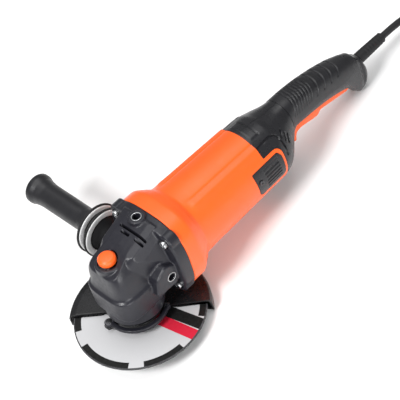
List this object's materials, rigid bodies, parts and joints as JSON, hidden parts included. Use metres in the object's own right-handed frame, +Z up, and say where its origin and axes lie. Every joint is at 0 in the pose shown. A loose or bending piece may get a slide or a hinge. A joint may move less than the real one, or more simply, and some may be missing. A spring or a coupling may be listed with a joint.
{
  "type": "angle grinder",
  "caption": "Corded angle grinder with a 150 mm wheel, swivelling guard, screw-on side handle and a bar-type rear handle with a paddle trigger.",
  "frame": {"origin": "middle of the tool's footprint on the bench, without the cord, coil and plug", "axes": "+X from the gear head to the cord end, +Y out along the side handle, +Z up from the bench"},
  "size_m": [0.7146, 0.2992, 0.1423],
  "materials": {
    "cast_alloy": "painted, fine satin texture",
    "bright_steel": "zinc plated",
    "bearing_steel": "ground",
    "black_steel": "satin black",
    "chrome": "polished",
    "lamination": "stacked laminations",
    "copper": "enamelled copper",
    "brass": "bare",
    "carbon": "pressed carbon",
    "orange_plastic": "satin moulded",
    "black_plastic": "fine texture",
    "black_rubber": "matt",
    "natural_plastic": "moulded",
    "abrasive": "resin-bonded abrasive with a printed paper label"
  },
  "bodies": {
    "tool": {"gear_case": "cast_alloy", "gear_case_screw_1": "bright_steel", "gear_case_screw_2": "bright_steel", "gear_case_screw_3": "bright_steel", "gear_case_screw_4": "bright_steel", "bearing_flange": "cast_alloy", "spindle_ball_bearing": "bearing_steel", "spindle_needle_bearing": "bearing_steel", "lock_spring": "bearing_steel", "motor_housing": "orange_plastic", "stator_core": "lamination", "field_coil_upper": "copper", "field_coil_lower": "copper", "motor_front_bearing": "bearing_steel", "motor_rear_bearing": "bearing_steel", "brush_holder_left": "brass", "carbon_brush_left": "carbon", "brush_cover_left": "black_plastic", "brush_cover_screw_left": "black_steel", "handle_shell_left": "black_plastic", "brush_holder_right": "brass", "carbon_brush_right": "carbon", "brush_cover_right": "black_plastic", "brush_cover_screw_right": "black_steel", "handle_shell_right": "black_plastic", "handle_screw_1": "black_steel", "handle_screw_2": "black_steel", "handle_screw_3": "black_steel", "soft_grip": "black_rubber", "switch_body": "natural_plastic", "cord_clamp": "natural_plastic", "strain_relief": "black_rubber", "power_cord": "black_rubber", "cord_coil": "black_rubber", "plug": "black_rubber", "side_handle_stud": "bright_steel", "side_handle_front_flange": "black_rubber", "side_handle_front_trim": "chrome", "side_handle_damper": "black_rubber", "side_handle_rear_flange": "black_rubber", "side_handle_rear_trim": "chrome", "side_handle_grip": "black_rubber"},
    "spindle": {"spindle": "bearing_steel", "crown_gear": "bearing_steel", "inner_flange": "bright_steel", "grinding_wheel": "abrasive", "lock_nut": "black_steel"},
    "armature": {"armature_shaft": "bearing_steel", "armature_core": "lamination", "armature_winding": "copper", "commutator": "copper", "cooling_fan": "black_plastic", "pinion": "bearing_steel"},
    "spindle_lock": {"lock_button": "orange_plastic", "lock_pin": "bearing_steel"},
    "guard": {"wheel_guard": "black_steel", "guard_lever_rivet": "bright_steel"},
    "guard_lever": {"guard_lever": "cast_alloy"},
    "trigger": {"trigger": "orange_plastic"},
    "switch_plunger": {"switch_plunger": "natural_plastic"}
  },
  "joints": [
    {"name": "spindle_spin", "type": "hinge", "parent": "tool", "child": "spindle", "pos_m": [-0.17623, -0.0525, 0.02282], "axis": [0.1358, 0, 0.9907], "continuous": true},
    {"name": "armature_spin", "type": "hinge", "parent": "tool", "child": "armature", "pos_m": [-0.06765, -0.0525, 0.07859], "axis": [0.9907, 0, -0.1358], "continuous": true},
    {"name": "spindle_lock_press", "type": "slide", "parent": "tool", "child": "spindle_lock", "axis": [-0.1358, 0, -0.9907], "range_m": [0, 0.0045], "stiffness_N_per_m": 800, "springref_m": -0.003, "deforming": ["lock_spring"]},
    {"name": "guard_swing", "type": "hinge", "parent": "tool", "child": "guard", "pos_m": [-0.17623, -0.0525, 0.02282], "axis": [0.1358, 0, 0.9907], "range_deg": [-90, 60]},
    {"name": "guard_lever_swing", "type": "hinge", "parent": "guard", "child": "guard_lever", "pos_m": [-0.20903, -0.04326, 0.03741], "axis": [0.1358, 0, 0.9907], "range_deg": [-70, 0]},
    {"name": "trigger_squeeze", "type": "hinge", "parent": "tool", "child": "trigger", "pos_m": [0.17212, -0.0525, 0.03109], "axis": [0, 1, 0], "range_deg": [0, 3.5], "stiffness_Nm_per_rad": 6, "springref_deg": -3.44},
    {"name": "switch_plunger_slide", "type": "slide", "parent": "tool", "child": "switch_plunger", "axis": [0.1358, 0, 0.9907], "range_m": [0, 0.0033]}
  ],
  "couplings": [
    {"joint": "armature_spin", "follows": "spindle_spin", "ratio": 3.3636},
    {"joint": "switch_plunger_slide", "follows": "trigger_squeeze", "m_per_rad": 0.052}
  ]
}
